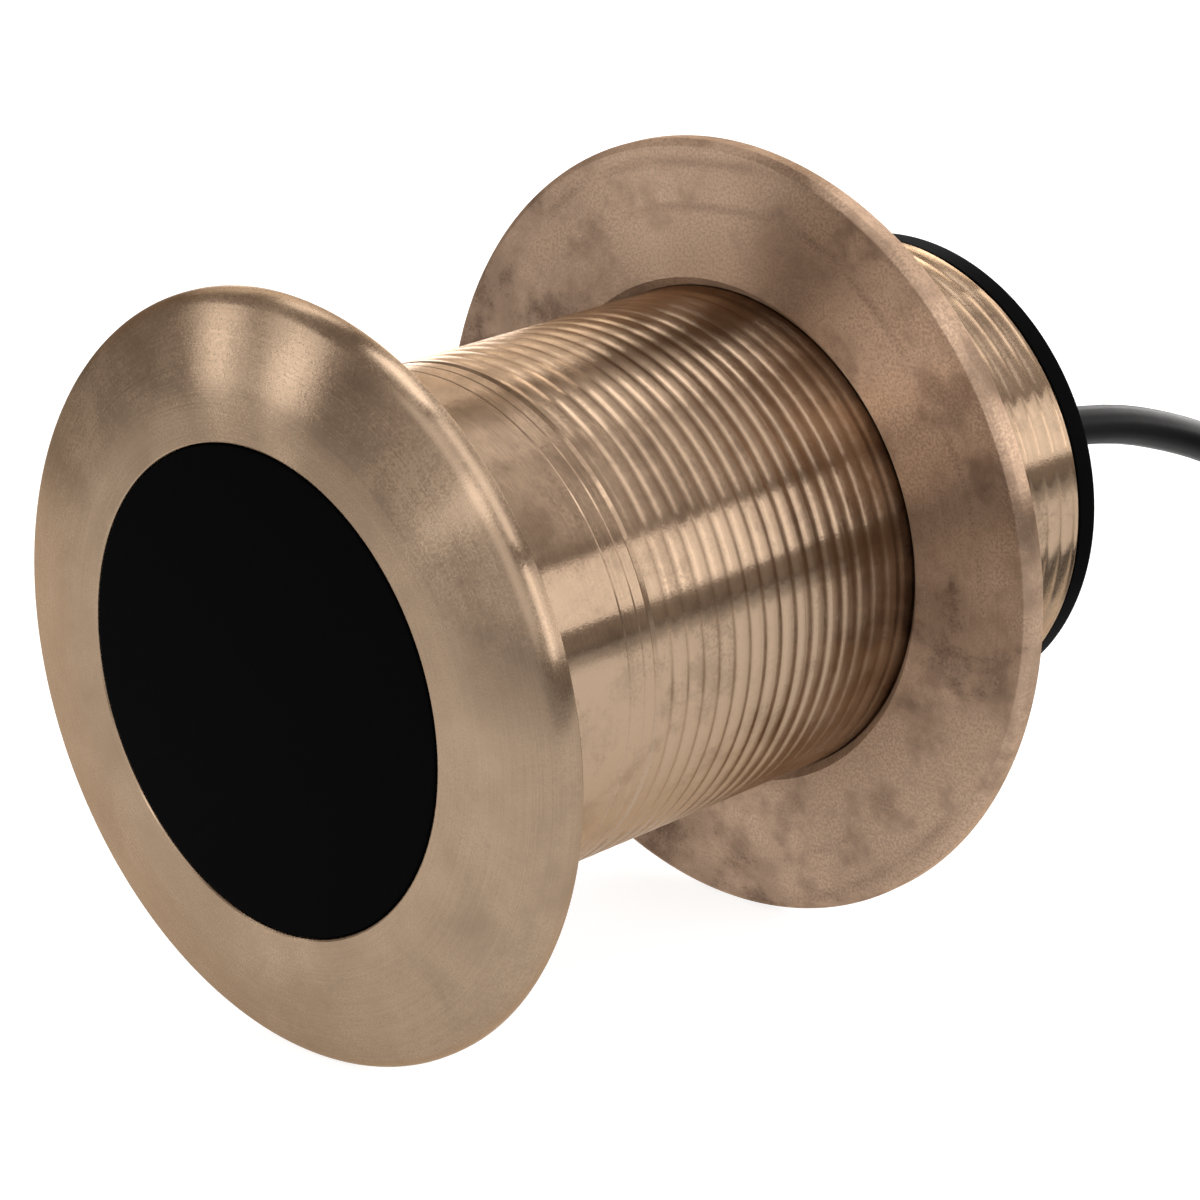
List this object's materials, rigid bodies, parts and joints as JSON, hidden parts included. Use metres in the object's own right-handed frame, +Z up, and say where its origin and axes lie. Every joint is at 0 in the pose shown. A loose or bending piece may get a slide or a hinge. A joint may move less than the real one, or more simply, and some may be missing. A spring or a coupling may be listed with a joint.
{
  "type": "sonar transducer",
  "caption": "Bronze through-hull sonar transducer: domed head with a black acoustic window, threaded stem, flanged hull nut, black rear cap and a coiled cable with a round plug.",
  "frame": {"origin": "on the floor, under the middle of the transducer without its free cable", "axes": "+Z up, +Y along the stem from the face to the cable, rising 3.15 degrees because the nut's flange is wider than the head"},
  "size_m": [0.101, 0.2645, 0.0808],
  "materials": {
    "bronze": "turned, fine circular tool marks, satin",
    "nut_bronze": "turned and lightly mottled, satin",
    "window_urethane": "smooth cast urethane, low sheen",
    "ceramic": "fired ceramic with silvered faces",
    "cork_rubber": "matt cork and rubber sheet",
    "solder": "bright solder",
    "signal_insulation": "smooth insulation",
    "return_insulation": "smooth insulation",
    "potting_resin": "cast resin",
    "cap_plastic": "moulded, low sheen",
    "boot_rubber": "moulded rubber",
    "cable_jacket": "extruded jacket, soft sheen",
    "tie_nylon": "woven strap",
    "plug_moulding": "overmoulded rubber",
    "ring_plastic": "moulded, satin",
    "nickel": "nickel plated, satin",
    "insulator": "moulded",
    "gold_plate": "gold plated, bright",
    "seal_rubber": "moulded rubber"
  },
  "bodies": {
    "transducer": {"housing": "bronze", "acoustic_window": "window_urethane", "piezo_element": "ceramic", "element_sleeve": "cork_rubber", "backing_disc": "cork_rubber", "solder_joints": "solder", "signal_wire": "signal_insulation", "return_wire": "return_insulation", "potting": "potting_resin", "end_cap": "cap_plastic", "strain_relief": "boot_rubber", "cable_lead": "cable_jacket", "cable_coil": "cable_jacket", "plug_tail": "cable_jacket", "coil_tie_near": "tie_nylon", "coil_tie_far": "tie_nylon", "plug_body": "plug_moulding", "plug_shell": "nickel", "plug_insert": "insulator", "plug_pins": "gold_plate", "plug_seal": "seal_rubber"},
    "nut": {"hull_nut": "nut_bronze"},
    "plug_ring": {"coupling_ring": "ring_plastic"}
  },
  "joints": [
    {"name": "nut_travel", "type": "slide", "parent": "transducer", "child": "nut", "axis": [0, 0.9985, 0.0549], "range_m": [-0.033, 0.018]},
    {"name": "ring_turn", "type": "hinge", "parent": "transducer", "child": "plug_ring", "pos_m": [0.05012, 0.06499, 0.0095], "axis": [-0.0349, 0.9994, 0], "continuous": true}
  ]
}
